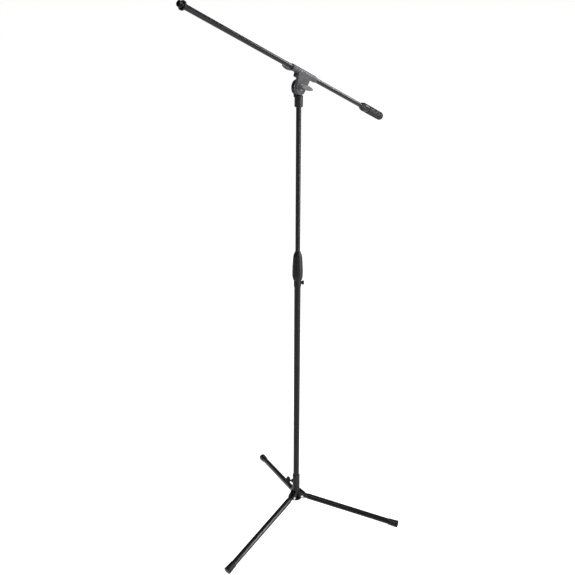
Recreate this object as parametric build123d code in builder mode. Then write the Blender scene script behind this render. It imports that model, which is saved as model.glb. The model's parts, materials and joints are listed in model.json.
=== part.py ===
"""Boom microphone stand: folding tripod base, telescopic mast, tilting boom with counterweight.

Frame: +Z up, floor at z = 0, mast on the Z axis, boom in the XZ plane with its tip towards -X.
One leg points along -X, under the boom's tip. All sizes are in millimetres.
"""
import os
from math import cos, radians, sin, tan

from build123d import *

# ---- Driving dimensions -------------------------------------------------------------------
# Tripod base
leg_azimuths = (180.0, 60.0, -60.0)  # one leg under the boom's tip, the others behind
foot_reach = 371.0           # mast axis to the middle of a boot's end face
leg_slope = 14.3             # fall of an opened leg, degrees
leg_diameter = 20.0
leg_wall = 1.2
leg_hub_gap = 1.0            # folded leg to the hub
leg_tube_start = 22.0        # pin to the near end of the leg tube
pin_diameter = 6.0
pin_head_overlap = 1.8
pin_head_height = 1.8
root_thickness = 12.0        # leg casting, between the hub's ears
root_reach = 12.0            # pin to the middle of the root's rounded end
root_collar = 4.0            # round shoulder that the tube butts against
root_plug = 26.0             # length of the root inside the tube
ear_thickness = 5.0
ear_radius = 8.5
eye_inset = 0.5              # the root's eye is this much smaller than the ears
heel_gap = 0.474             # lower tube to the heel that sits on the base plate
heel_angle = 30.0            # fall of the heel towards the mast, degrees
heel_radius = 3.5
boot_wall = 3.0
boot_length = 34.0
boot_end = 8.5               # solid rubber past the tube's end
boot_flat = 0.8              # height cut off a boot's lip where it meets the floor

# Hub on the lower tube
hub_wall = 2.5
hub_length = 79.15
hub_chamfer = 2.2
hub_screw_drop = 31.0        # hub's top to the wing screw
hub_screw_azimuth = 120.0    # between two legs
hub_screw_diameter = 8.0
hub_boss_radius = 6.5
hub_boss_height = 4.0
hub_wing_neck_radius = 3.2
hub_wing_height = 33.0
hub_wing_depth = 16.0
hub_wing_thickness = 4.8

# Plate that the lower tube carries under the heels
plate_inset = 3.0            # plate's rim inside the circle of pins
plate_thickness = 6.0
plate_spigot = 22.0          # length of the plate's plug in the tube
plate_screw_radius = 3.0
plate_screw_head_radius = 5.5
plate_screw_head_height = 3.2

# Mast
upper_tube_diameter = 15.5
upper_tube_wall = 1.0
bush_wall = 1.75             # radial, between the upper tube and the lower tube's bore
lower_tube_wall = 1.0
lower_tube_top = 990.0
telescope_overlap = 110.0    # upper tube inside the lower one, as drawn

# Height clutch, measured from the lower tube's top
collar_wall = 1.8
collar_overlap = 75.0
collar_step = 0.4            # the collar is this much thinner inside the grip
grip_cover = 4.45            # radial, from the collar to the grip's widest
grip_overlap = 50.5
grip_rise = 44.0
flute_count = 12
flute_radius = 3.0
flute_lift = 2.2             # flute's middle outside the grip's widest
lock_screw_drop = 60.0
lock_screw_azimuth = -50.0
lock_screw_diameter = 5.0
lock_boss_radius = 4.6
lock_boss_height = 1.2
lock_head_diameter = 13.6
lock_head_length = 7.0
collet_depth = 22.0
collet_straight = 12.0
collet_length = 30.0
collet_taper = 2.2
collet_slit = 1.2

# Swivel head
pivot_height = 1533.0
clutch_disc_diameter = 44.0
clutch_disc_thickness = 11.0
disc_face = 0.5              # inner face of the clutch disc, from the boom's plane
lobe_face = 0.8              # inner face of the holder's lobe, on the other side
sleeve_wall = 4.75
sleeve_length = 32.0
sleeve_gap = 1.0             # clutch disc's rim to the sleeve's top
tube_seat_depth = 7.0        # solid top of the sleeve, above the upper tube
tilt_bolt_diameter = 6.0
bolt_head_radius = 5.5
bolt_head_height = 3.6
bolt_head_sink = 4.0
bolt_overhang = 16.0         # bolt past the holder's face
washer_radius = 8.5
washer_thickness = 1.2
tilt_hub_radius = 7.2
tilt_hub_length = 21.0
tilt_wing_reach = 26.0
tilt_wing_width = 14.0
tilt_wing_turn = 17.0        # fall of the wing that points to the rear, degrees
wing_thickness = 5.0

# Boom and its holder
boom_angle = 22.0            # rise of the boom towards its tip, degrees
boom_diameter = 14.0
boom_wall = 1.0
barrel_lift = 20.0           # clutch disc's rim to the boom's axis
barrel_wall = 2.5
barrel_front = 54.0          # pivot to the barrel's front face, along the boom
barrel_rear = 60.0
barrel_cone = 8.0
web_thickness = 20.0
web_front = 25.0             # pivot to the web's edges under the barrel
web_rear = 33.0
clamp_reach = 42.0           # pivot to the boom clamp screw, along the boom
clamp_screw_diameter = 6.0
clamp_boss_radius = 7.0
clamp_boss_height = 6.0      # boom tube's side to the boss's face
clamp_shoe_thickness = 1.6
clamp_hub_radius = 6.4
clamp_hub_length = 14.0
clamp_wing_reach = 22.0
clamp_wing_width = 12.0

# Threaded tip
tip_reach = 505.5            # pivot to the end of the threaded stud, along the boom
stud_diameter = 15.88        # 5/8 in microphone thread, over its crests
stud_length = 11.0           # thread ahead of the lock ring
stud_bevel = 1.2
relief_depth = 0.8
relief_length = 1.0
shoulder_length = 3.0
shoulder_overlap = 1.8       # shoulder outside the boom tube
plug_length = 24.0
lock_ring_diameter = 24.0
lock_ring_thickness = 6.0
lock_ring_chamfer = 1.0

# Counterweight
weight_bell_start = 333.0    # pivot to the counterweight's bell, along the boom
weight_bell_length = 45.0
weight_end_round = 8.0
weight_end_wall = 6.0        # rubber past the slug
slug_thickness = 4.5
slug_cover = 2.0             # rubber or plastic outside the slug
bell_groove = 1.6

# ---- Clearances ---------------------------------------------------------------------------
running = 0.05               # radial, between a shaft and its bore
seated = 0.03                # radial, between pieces that stay together
apart = 0.3                  # between separate pieces that move past each other
hex_clearance = 0.1          # between a bolt's head and its pocket

# ---- Small sizes of edges, lips and ledges -----------------------------------------------------
cut_over = 1.0
eye_relief = 0.4
heel_fill = 1.5
hub_wing_gap = 8.0
boot_relief = 0.6
boot_groove = 1.4
boot_groove_top = 7.0
groove_slope = 0.4
boot_lip = 5.0
boot_bevel = 1.0
boot_mouth_wall = 1.2
boot_neck_wall = 1.6
boot_neck = 14
collar_lead = 1.2
collar_lead_length = 6
collar_drop = 5
boss_sink = 1.0
tip_gap = 0.1
collet_wall = 0.9
bush_ledge = 2.75
bush_floor = 4
bush_grip = 20

# ---- Worked-out sizes ---------------------------------------------------------------------
slope = radians(leg_slope)
tilt = radians(boom_angle)
upper_radius = upper_tube_diameter / 2
lower_bore = upper_radius + bush_wall
lower_radius = lower_bore + lower_tube_wall
hub_radius = lower_radius + hub_wall
collar_radius = lower_radius + collar_wall
neck_radius = collar_radius - collar_step
grip_radius = collar_radius + grip_cover
sleeve_radius = upper_radius + sleeve_wall

leg_radius = leg_diameter / 2
leg_bore = leg_radius - leg_wall
boot_radius = leg_radius + boot_wall
pin_reach = hub_radius + leg_radius + leg_hub_gap
foot_height = boot_radius * cos(slope) - boot_flat
pin_height = foot_height + (foot_reach - pin_reach) * tan(slope)
leg_length = (foot_reach - pin_reach) / cos(slope)
eye_radius = ear_radius - eye_inset
heel = radians(heel_angle)
heel_length = (pin_reach - lower_radius - heel_radius - heel_gap) / cos(heel)
ear_inside = root_thickness / 2 + apart
plate_top = pin_height - heel_length * sin(heel) - heel_radius - apart
plate_bottom = plate_top - plate_thickness
hub_bottom = pin_height + eye_radius + 2 * apart
hub_top = hub_bottom + hub_length
hub_screw_height = hub_top - hub_screw_drop

collar_bottom = lower_tube_top - collar_overlap
grip_bottom = lower_tube_top - grip_overlap
grip_top = lower_tube_top + grip_rise
lock_screw_height = lower_tube_top - lock_screw_drop
upper_tube_bottom = lower_tube_top - telescope_overlap

disc_radius = clutch_disc_diameter / 2
sleeve_top = pivot_height - disc_radius - sleeve_gap
sleeve_bottom = sleeve_top - sleeve_length
tube_seat = sleeve_top - tube_seat_depth
boom_radius = boom_diameter / 2
boom_bore = boom_radius - boom_wall
boom_rise = disc_radius + barrel_lift
barrel_radius = boom_radius + barrel_wall
holder_face = web_thickness / 2
boss_face = boom_radius + clamp_boss_height
stud_radius = stud_diameter / 2
slug_radius = boom_radius + slug_thickness
weight_radius = slug_radius + slug_cover

# The boom's two ends reach equally far from the mast's axis.
tip_x = tip_reach * cos(tilt) + stud_radius * sin(tilt) - boom_rise * sin(tilt)
weight_round_x = (boom_rise + weight_radius - weight_end_round) * sin(tilt) + weight_end_round
weight_reach = weight_end_round + (tip_x - weight_round_x) / cos(tilt)


def leg_plane(azimuth):
    """Upright plane through the mast axis: x outwards along a leg, y up, z sideways."""
    turn = radians(azimuth)
    return Plane(origin=(0, 0, 0), x_dir=(cos(turn), sin(turn), 0), z_dir=(sin(turn), -cos(turn), 0))


def radial_plane(azimuth, height, distance):
    """Plane square to a radial screw: its z points outwards from the mast axis."""
    turn = radians(azimuth)
    place = (distance * cos(turn), distance * sin(turn), height)
    return Plane(origin=place, x_dir=(0, 0, 1), z_dir=(cos(turn), sin(turn), 0))


def leg_axis_plane(azimuth, distance):
    """Plane square to a leg's tube, at a distance from the pivot pin along the tube."""
    turn = radians(azimuth)
    reach = pin_reach + distance * cos(slope)
    place = (reach * cos(turn), reach * sin(turn), pin_height - distance * sin(slope))
    along = (cos(turn) * cos(slope), sin(turn) * cos(slope), -sin(slope))
    return Plane(origin=place, x_dir=(-sin(turn), cos(turn), 0), z_dir=along)


# Boom planes: x runs along the boom towards the counterweight, y square to it and up, z to -Y.
boom_plane = Plane(origin=(0, 0, pivot_height), x_dir=(cos(tilt), 0, -sin(tilt)), z_dir=(0, -1, 0))
boom_start = (boom_rise * sin(tilt), 0, pivot_height + boom_rise * cos(tilt))
boom_axis_plane = Plane(origin=boom_start, x_dir=(cos(tilt), 0, -sin(tilt)), z_dir=(0, -1, 0))
boom_axis = Axis(boom_start, (cos(tilt), 0, -sin(tilt)))


def boom_square_plane(along):
    """Plane square to the boom tube, at a distance from the pivot towards the counterweight."""
    place = (
        boom_start[0] + along * cos(tilt),
        0,
        boom_start[2] - along * sin(tilt),
    )
    return Plane(origin=place, x_dir=(0, 1, 0), z_dir=(cos(tilt), 0, -sin(tilt)))


def turned(plane, outline):
    """Half outline of a turned piece, drawn in a plane whose x is the turning axis."""
    with BuildSketch(plane) as profile:
        with BuildLine():
            Polyline(outline, close=True)
        make_face()
    return profile.sketch


def wing_outline(plane, reach, width):
    """Pair of petal wings across a screw: x runs along the wings, y across them."""
    tip_width = width * 0.3
    with BuildSketch(plane) as wings:
        with BuildLine():
            upper = ThreePointArc((-reach, tip_width / 2), (0, width / 2), (reach, tip_width / 2))
            lower = ThreePointArc((reach, -tip_width / 2), (0, -width / 2), (-reach, -tip_width / 2))
            Line(upper @ 1, lower @ 0)
            Line(lower @ 1, upper @ 0)
        make_face()
    return wings.sketch


os.makedirs("parts", exist_ok=True)


def save(piece, name):
    """Label a finished piece and write it as its own file."""
    piece.label = name
    export_step(piece, f"parts/{name}.step")


# ---- Hub: a clamped sleeve with three pairs of ears -----------------------------------------
gusset_lift = 6.5            # middle of an ear's root above the pin
gusset_depth = 3.0
gusset_sink = 1.0
gusset_height = 27.0
with BuildPart() as hub_casting:
    with BuildSketch(Plane.XY.offset(hub_bottom)):
        Circle(hub_radius)
    extrude(amount=hub_length)
    chamfer(hub_casting.faces().sort_by(Axis.Z)[-1].edges(), hub_chamfer)
    for azimuth in leg_azimuths:
        for side in (-1, 1):
            with BuildSketch(leg_plane(azimuth).offset(side * ear_inside)):
                with Locations((pin_reach, pin_height)):
                    Circle(ear_radius)
                with Locations((hub_radius - gusset_sink, pin_height + gusset_lift)):
                    Rectangle(gusset_depth, gusset_height)
                make_hull()
            extrude(amount=side * ear_thickness)
    with BuildSketch(radial_plane(hub_screw_azimuth, hub_screw_height, lower_radius)):
        Circle(hub_boss_radius)
    extrude(amount=hub_wall + hub_boss_height)
    with BuildSketch(Plane.XY):
        Circle(lower_radius + running)
    extrude(amount=hub_top + cut_over, mode=Mode.SUBTRACT)
    for azimuth in leg_azimuths:
        with BuildSketch(leg_plane(azimuth)):
            with Locations((pin_reach, pin_height)):
                Circle(pin_diameter / 2 + seated)
        extrude(amount=ear_inside + ear_thickness, both=True, mode=Mode.SUBTRACT)
    with BuildSketch(radial_plane(hub_screw_azimuth, hub_screw_height, 0)):
        Circle(hub_screw_diameter / 2 + running)
    extrude(amount=hub_radius + hub_boss_height, mode=Mode.SUBTRACT)
save(hub_casting.part, "hub_casting")

# ---- Leg pivot pins: three headed rivets, one node ------------------------------------------
ear_outside = ear_inside + ear_thickness
with BuildPart() as leg_pivot_pins:
    for azimuth in leg_azimuths:
        with BuildSketch(leg_plane(azimuth).offset(-ear_outside)):
            with Locations((pin_reach, pin_height)):
                Circle(pin_diameter / 2)
        extrude(amount=2 * ear_outside)
        for side in (-1, 1):
            with BuildSketch(leg_plane(azimuth).offset(side * ear_outside)):
                with Locations((pin_reach, pin_height)):
                    Circle(pin_diameter / 2 + pin_head_overlap)
            extrude(amount=side * pin_head_height, taper=18)
save(leg_pivot_pins.part, "leg_pivot_pins")

# ---- Hub wing screw: flat oval wing on a threaded shank ---------------------------------------
screw_face = hub_radius + hub_boss_height + 2 * apart
hub_wing_start = hub_radius + hub_wing_gap
with BuildPart() as hub_wing_screw:
    with BuildSketch(radial_plane(hub_screw_azimuth, hub_screw_height, lower_radius + apart)):
        Circle(hub_screw_diameter / 2)
    extrude(amount=screw_face - lower_radius - apart)
    with BuildSketch(radial_plane(hub_screw_azimuth, hub_screw_height, screw_face)):
        Circle(hub_wing_neck_radius)
    extrude(amount=hub_wing_start + hub_wing_depth / 3 - screw_face)
    with BuildSketch(leg_plane(hub_screw_azimuth).offset(-hub_wing_thickness / 2)):
        with Locations((hub_wing_start + hub_wing_depth / 2, hub_screw_height)):
            Ellipse(hub_wing_depth / 2, hub_wing_height / 2)
    extrude(amount=hub_wing_thickness)
    fillet(hub_wing_screw.edges().filter_by(GeomType.ELLIPSE), hub_wing_thickness / 4)
save(hub_wing_screw.part, "hub_wing_screw")

# ---- Legs: casting with eye and heel, tube, rubber boot ---------------------------------------
heel_x = pin_reach - heel_length * cos(heel)
heel_z = pin_height - heel_length * sin(heel)
heel_drop = heel_length * sin(heel) + heel_radius
root_end = (pin_reach + root_reach * cos(slope), pin_height - root_reach * sin(slope))
for number, azimuth in enumerate(leg_azimuths, 1):
    with BuildPart() as leg_root:
        with BuildSketch(leg_plane(azimuth).offset(-root_thickness / 2)):
            with Locations((pin_reach, pin_height)):
                Circle(eye_radius)
            with Locations(root_end):
                Circle(eye_radius - eye_relief)
            make_hull()
        extrude(amount=root_thickness)
        with BuildSketch(leg_plane(azimuth).offset(-root_thickness / 2)):
            with Locations((heel_x, heel_z)):
                Circle(heel_radius)
            with Locations((pin_reach, pin_height)):
                Circle(heel_radius + heel_fill)
            with Locations(root_end):
                Circle(heel_drop - root_reach * sin(slope))
            make_hull()
        extrude(amount=root_thickness)
        with BuildSketch(leg_axis_plane(azimuth, leg_tube_start - root_collar)):
            Circle(leg_radius)
        extrude(amount=root_collar)
        with BuildSketch(leg_axis_plane(azimuth, leg_tube_start)):
            Circle(leg_bore - seated)
        extrude(amount=root_plug)
        with BuildSketch(leg_plane(azimuth)):
            with Locations((pin_reach, pin_height)):
                Circle(pin_diameter / 2 + running)
        extrude(amount=root_thickness, both=True, mode=Mode.SUBTRACT)
    save(leg_root.part, f"leg_root_{number}")

    with BuildPart() as leg_tube:
        with BuildSketch(leg_axis_plane(azimuth, leg_tube_start)):
            Circle(leg_radius)
            Circle(leg_bore, mode=Mode.SUBTRACT)
        extrude(amount=leg_length - leg_tube_start - boot_end - apart)
    save(leg_tube.part, f"leg_tube_{number}")

    boot_bore = leg_radius + seated
    boot_outline = (
        (boot_bore, -boot_length),
        (boot_bore + boot_mouth_wall, -boot_length),
        (boot_bore + boot_neck_wall, -boot_length + boot_neck),
        (boot_radius - boot_relief, -boot_end),
        (boot_radius - boot_relief, -boot_groove_top),
        (boot_radius - boot_groove, -boot_groove_top + groove_slope),
        (boot_radius - boot_groove, -boot_lip - groove_slope),
        (boot_radius, -boot_lip),
        (boot_radius, -boot_bevel),
        (boot_radius - boot_bevel, 0),
        (0, 0),
        (0, -boot_end),
        (boot_bore, -boot_end),
    )
    foot_frame = leg_axis_plane(azimuth, leg_length)
    boot_section = Plane(origin=foot_frame.origin, x_dir=foot_frame.x_dir, z_dir=-foot_frame.y_dir)
    with BuildPart() as foot_boot:
        with BuildSketch(boot_section):
            with BuildLine():
                Polyline(boot_outline, close=True)
            make_face()
        revolve(axis=Axis(foot_frame.origin, foot_frame.z_dir))
        split(bisect_by=Plane.XY, keep=Keep.TOP)
    save(foot_boot.part, f"foot_boot_{number}")

# ---- Lower tube and the plate that its end carries --------------------------------------------
with BuildPart() as lower_tube:
    with BuildSketch(Plane.XY.offset(plate_top)):
        Circle(lower_radius)
        Circle(lower_bore, mode=Mode.SUBTRACT)
    extrude(amount=lower_tube_top - plate_top)
save(lower_tube.part, "lower_tube")

with BuildPart() as base_plate:
    with BuildSketch(Plane.XY.offset(plate_bottom)):
        Circle(pin_reach - plate_inset)
    extrude(amount=plate_thickness)
    chamfer(base_plate.edges().group_by(Axis.Z)[0], plate_thickness / 3)
    chamfer(base_plate.edges().group_by(Axis.Z)[-1], plate_thickness / 10)
    with BuildSketch(Plane.XY.offset(plate_top)):
        Circle(lower_bore - seated)
    extrude(amount=plate_spigot)
    with BuildSketch(Plane.XY.offset(plate_bottom)):
        Circle(plate_screw_radius + seated)
    extrude(amount=plate_thickness + plate_spigot - 4.0, mode=Mode.SUBTRACT)
save(base_plate.part, "base_plate")

with BuildPart() as base_plate_screw:
    with BuildSketch(Plane.XY.offset(plate_bottom)):
        Circle(plate_screw_radius)
    extrude(amount=plate_spigot)
    with BuildSketch(Plane.XY.offset(plate_bottom - plate_screw_head_height)):
        Circle(plate_screw_head_radius)
    extrude(amount=plate_screw_head_height)
    with BuildSketch(Plane.XY.offset(plate_bottom - plate_screw_head_height)):
        RegularPolygon(plate_screw_head_radius / 2.2, 6)
    extrude(amount=plate_screw_head_height - 1.0, mode=Mode.SUBTRACT)
save(base_plate_screw.part, "base_plate_screw")

# ---- Height clutch: collar, lock screw, collet, twist grip ------------------------------------
collar_outline = (
    (collar_bottom, lower_radius + seated),
    (collar_bottom, collar_radius - collar_lead),
    (collar_bottom + collar_lead_length, collar_radius),
    (grip_bottom - apart, collar_radius),
    (grip_bottom - apart, neck_radius),
    (lower_tube_top - collar_drop, neck_radius),
    (lower_tube_top - collar_drop, lower_radius + seated),
)
mast_section = Plane(origin=(0, 0, 0), x_dir=(0, 0, 1), z_dir=(0, -1, 0))
lock_boss_face = collar_radius + lock_boss_height
with BuildPart() as clutch_collar:
    revolve(turned(mast_section, collar_outline), axis=Axis.Z)
    with BuildSketch(radial_plane(lock_screw_azimuth, lock_screw_height, lower_radius + boss_sink)):
        Circle(lock_boss_radius)
    extrude(amount=lock_boss_face - lower_radius - boss_sink)
    with BuildSketch(radial_plane(lock_screw_azimuth, lock_screw_height, 0)):
        Circle(lock_screw_diameter / 2 + running)
    extrude(amount=lock_boss_face, mode=Mode.SUBTRACT)
save(clutch_collar.part, "clutch_collar")

lock_screw_start = lower_radius + tip_gap
lock_head_start = lock_boss_face + apart
with BuildPart() as collar_lock_screw:
    with BuildSketch(radial_plane(lock_screw_azimuth, lock_screw_height, lock_screw_start)):
        Circle(lock_screw_diameter / 2)
    extrude(amount=lock_head_start + 2 - lock_screw_start)
    with BuildSketch(radial_plane(lock_screw_azimuth, lock_screw_height, lock_head_start)):
        Circle(lock_head_diameter / 2)
    extrude(amount=lock_head_length)
    round_rims = collar_lock_screw.edges().filter_by(GeomType.CIRCLE)
    chamfer(round_rims.filter_by(lambda rim: rim.radius > lock_screw_diameter), 0.8)
save(collar_lock_screw.part, "collar_lock_screw")

collet_seat = lower_tube_top + tip_gap
collet_radius = lower_radius + collet_wall
collet_outline = (
    (collet_seat - collet_depth, upper_radius + running),
    (collet_seat - collet_depth, lower_bore - seated),
    (collet_seat, lower_bore - seated),
    (collet_seat, collet_radius),
    (collet_seat + collet_straight, collet_radius),
    (collet_seat + collet_length, collet_radius - collet_taper),
    (collet_seat + collet_length, upper_radius + running),
)
with BuildPart() as clutch_collet:
    revolve(turned(mast_section, collet_outline), axis=Axis.Z)
    with BuildSketch(Plane.XY.offset(collet_seat + 4)):
        Rectangle(3 * collet_radius, collet_slit)
        Rectangle(collet_slit, 3 * collet_radius)
    extrude(amount=collet_length, mode=Mode.SUBTRACT)
save(clutch_collet.part, "clutch_collet")

grip_outline = (
    (grip_bottom, neck_radius + apart),
    (grip_bottom, grip_radius - 3.2),
    (grip_bottom + 3, grip_radius - 1.6),
    (grip_bottom + 14, grip_radius),
    (grip_bottom + 38, grip_radius),
    (grip_bottom + 62, grip_radius - 1.2),
    (grip_top - 14, grip_radius - 2.6),
    (grip_top - 9, grip_radius - 3.6),
    (grip_top - 3, grip_radius - 6.8),
    (grip_top, grip_radius - 7.2),
    (grip_top, upper_radius + 0.4),
    (collet_seat + collet_length + 1, upper_radius + 0.4),
    (collet_seat + collet_length + 1, collet_radius - collet_taper + 0.4),
    (collet_seat + collet_straight + 0.5, collet_radius + 0.5),
    (collet_seat + collet_straight / 2, neck_radius + apart),
)
with BuildPart() as clutch_grip:
    revolve(turned(mast_section, grip_outline), axis=Axis.Z)
    for flute in range(flute_count):
        turn = radians(flute * 360 / flute_count)
        flute_reach = grip_radius + flute_lift
        flute_place = (flute_reach * cos(turn), flute_reach * sin(turn))
        with BuildSketch(Plane.XY.offset(grip_bottom + 10)):
            with Locations(flute_place):
                Circle(flute_radius)
        extrude(amount=grip_top - grip_bottom - 30, mode=Mode.SUBTRACT)
save(clutch_grip.part, "clutch_grip")

# ---- Upper tube and its guide bush ------------------------------------------------------------
bush_hole = upper_radius - bush_ledge
bush_outline = (
    (upper_tube_bottom - bush_floor, bush_hole),
    (upper_tube_bottom - bush_floor, lower_bore - running),
    (upper_tube_bottom + bush_grip, lower_bore - running),
    (upper_tube_bottom + bush_grip, upper_radius + running),
    (upper_tube_bottom - apart, upper_radius + running),
    (upper_tube_bottom - apart, bush_hole),
)
with BuildPart() as guide_bush:
    revolve(turned(mast_section, bush_outline), axis=Axis.Z)
save(guide_bush.part, "guide_bush")

with BuildPart() as upper_tube:
    with BuildSketch(Plane.XY.offset(upper_tube_bottom)):
        Circle(upper_radius)
        Circle(upper_radius - upper_tube_wall, mode=Mode.SUBTRACT)
    extrude(amount=tube_seat - upper_tube_bottom)
save(upper_tube.part, "upper_tube")

# ---- Swivel base: sleeve on the upper tube with one half of the tilt clutch -------------------
pivot_plane = Plane(origin=(0, 0, pivot_height), x_dir=(1, 0, 0), z_dir=(0, 1, 0))
disc_back = disc_face + clutch_disc_thickness
with BuildPart() as swivel_base:
    with BuildSketch(Plane.XY.offset(sleeve_bottom)):
        Circle(sleeve_radius)
    extrude(amount=sleeve_length)
    fillet(swivel_base.edges().group_by(Axis.Z)[0], 2.0)
    chamfer(swivel_base.edges().group_by(Axis.Z)[-1], 1.0)
    with BuildSketch(pivot_plane.offset(disc_face)):
        Circle(disc_radius)
    extrude(amount=clutch_disc_thickness)
    chamfer(swivel_base.edges().group_by(Axis.Y)[-1], 1.0)
    with BuildSketch(Plane.XY.offset(sleeve_top - 4)):
        with Locations((0, disc_face + clutch_disc_thickness / 2)):
            Rectangle(2 * sleeve_radius - 4, clutch_disc_thickness)
    extrude(amount=16.0)
    with BuildSketch(Plane.XY.offset(sleeve_bottom)):
        Circle(upper_radius + seated)
    extrude(amount=tube_seat + seated - sleeve_bottom, mode=Mode.SUBTRACT)
    with BuildSketch(pivot_plane):
        Circle(tilt_bolt_diameter / 2 + seated)
    extrude(amount=disc_back, mode=Mode.SUBTRACT)
    with BuildSketch(pivot_plane.offset(disc_back - bolt_head_sink)):
        RegularPolygon(bolt_head_radius + hex_clearance, 6)
    extrude(amount=bolt_head_sink, mode=Mode.SUBTRACT)
save(swivel_base.part, "swivel_base")

friction_washer_thickness = 1.0
with BuildPart() as friction_washer:
    with BuildSketch(pivot_plane.offset(disc_face - friction_washer_thickness)):
        Circle(disc_radius - 1.5)
        Circle(tilt_bolt_diameter / 2 + seated, mode=Mode.SUBTRACT)
    extrude(amount=friction_washer_thickness)
save(friction_washer.part, "friction_washer")

bolt_end = holder_face + bolt_overhang
with BuildPart() as tilt_bolt:
    with BuildSketch(pivot_plane.offset(-bolt_end)):
        Circle(tilt_bolt_diameter / 2)
    extrude(amount=bolt_end + disc_back - bolt_head_sink)
    with BuildSketch(pivot_plane.offset(disc_back - bolt_head_sink)):
        RegularPolygon(bolt_head_radius, 6)
    extrude(amount=bolt_head_height)
save(tilt_bolt.part, "tilt_bolt")

with BuildPart() as tilt_washer:
    with BuildSketch(pivot_plane.offset(-holder_face - apart - washer_thickness)):
        Circle(washer_radius)
        Circle(tilt_bolt_diameter / 2 + running, mode=Mode.SUBTRACT)
    extrude(amount=washer_thickness)
save(tilt_washer.part, "tilt_washer")

# ---- Tilt wing nut: hub with two wings that flare outwards ------------------------------------
nut_start = holder_face + apart + washer_thickness + apart
nut_end = nut_start + tilt_hub_length
wing_turn = radians(tilt_wing_turn)
nut_along = (cos(wing_turn), 0, -sin(wing_turn))
nut_plane = Plane(origin=(0, -nut_end, pivot_height), x_dir=nut_along, z_dir=(0, 1, 0))
nut_wings = wing_outline(nut_plane, tilt_wing_reach, tilt_wing_width)
with BuildPart() as tilt_wing_nut:
    extrude(nut_wings, amount=wing_thickness)
    fillet(tilt_wing_nut.edges(), wing_thickness / 5)
    with BuildSketch(pivot_plane.offset(-nut_start)):
        Circle(tilt_hub_radius)
    extrude(amount=-(tilt_hub_length - wing_thickness / 2), taper=4)
    with BuildSketch(pivot_plane.offset(-nut_start)):
        Circle(tilt_bolt_diameter / 2 + running)
    extrude(amount=-(tilt_hub_length - wing_thickness / 2), mode=Mode.SUBTRACT)
save(tilt_wing_nut.part, "tilt_wing_nut")

# ---- Boom holder: barrel on a web, with the other half of the tilt clutch ---------------------
web_foot = disc_radius + 1.0
cone_end = boom_radius + 1.2
with BuildPart() as boom_holder:
    with BuildSketch(boom_plane.offset(lobe_face)):
        Circle(disc_radius)
        with Locations(((web_rear - web_front) / 2, boom_rise - barrel_radius / 2)):
            Rectangle(web_front + web_rear, barrel_radius)
        make_hull()
    extrude(amount=holder_face - lobe_face)
    with BuildSketch(boom_plane.offset(-holder_face)):
        with Locations(((web_rear - web_front) / 2, (web_foot + boom_rise) / 2)):
            Rectangle(web_front + web_rear, boom_rise - web_foot)
    extrude(amount=holder_face + lobe_face)
    with BuildSketch(boom_square_plane(-barrel_front)):
        Circle(barrel_radius)
    extrude(amount=barrel_front + barrel_rear)
    with BuildSketch(boom_square_plane(barrel_rear)):
        Circle(barrel_radius)
    with BuildSketch(boom_square_plane(barrel_rear + barrel_cone)):
        Circle(cone_end)
    loft()
    with BuildSketch(boom_plane.offset(-boss_face)):
        with Locations((-clamp_reach, boom_rise)):
            Circle(clamp_boss_radius)
    extrude(amount=boss_face)
    with BuildSketch(boom_square_plane(-barrel_front - 1)):
        Circle(boom_radius + running)
    extrude(amount=barrel_front + barrel_rear + barrel_cone + 2, mode=Mode.SUBTRACT)
    with BuildSketch(boom_plane.offset(-boss_face)):
        with Locations((-clamp_reach, boom_rise)):
            Circle(clamp_screw_diameter / 2 + running)
    extrude(amount=boss_face, mode=Mode.SUBTRACT)
    with BuildSketch(boom_plane):
        Circle(tilt_bolt_diameter / 2 + running)
    extrude(amount=holder_face, mode=Mode.SUBTRACT)
save(boom_holder.part, "boom_holder")

shoe_back = boom_radius + apart + clamp_shoe_thickness
with BuildPart() as boom_clamp_shoe:
    with BuildSketch(boom_plane.offset(-shoe_back)):
        with Locations((-clamp_reach, boom_rise)):
            Circle(clamp_screw_diameter / 2)
    extrude(amount=clamp_shoe_thickness)
save(boom_clamp_shoe.part, "boom_clamp_shoe")

clamp_start = boss_face + apart
clamp_end = clamp_start + clamp_hub_length
clamp_wing_plane = Plane(
    origin=(boom_start[0] - clamp_reach * cos(tilt), clamp_end, boom_start[2] + clamp_reach * sin(tilt)),
    x_dir=(cos(tilt), 0, -sin(tilt)),
    z_dir=(0, -1, 0),
)
clamp_wings = wing_outline(clamp_wing_plane, clamp_wing_reach, clamp_wing_width)
with BuildPart() as boom_clamp_screw:
    extrude(clamp_wings, amount=wing_thickness)
    fillet(boom_clamp_screw.edges(), wing_thickness / 5)
    with BuildSketch(boom_plane.offset(-clamp_start)):
        with Locations((-clamp_reach, boom_rise)):
            Circle(clamp_hub_radius)
    extrude(amount=-(clamp_hub_length - wing_thickness / 2), taper=4)
    with BuildSketch(boom_plane.offset(-clamp_start - wing_thickness)):
        with Locations((-clamp_reach, boom_rise)):
            Circle(clamp_screw_diameter / 2)
    extrude(amount=clamp_start + wing_thickness - shoe_back - apart)
save(boom_clamp_screw.part, "boom_clamp_screw")

# ---- Boom tube and the threaded tip ------------------------------------------------------------
stud_start = tip_reach - stud_length
tube_front = stud_start - lock_ring_thickness - 2 * apart - shoulder_length
slug_end = weight_reach - weight_end_wall
with BuildPart() as boom_tube:
    with BuildSketch(boom_square_plane(-tube_front)):
        Circle(boom_radius)
        Circle(boom_bore, mode=Mode.SUBTRACT)
    extrude(amount=tube_front + slug_end)
save(boom_tube.part, "boom_tube")

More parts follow.
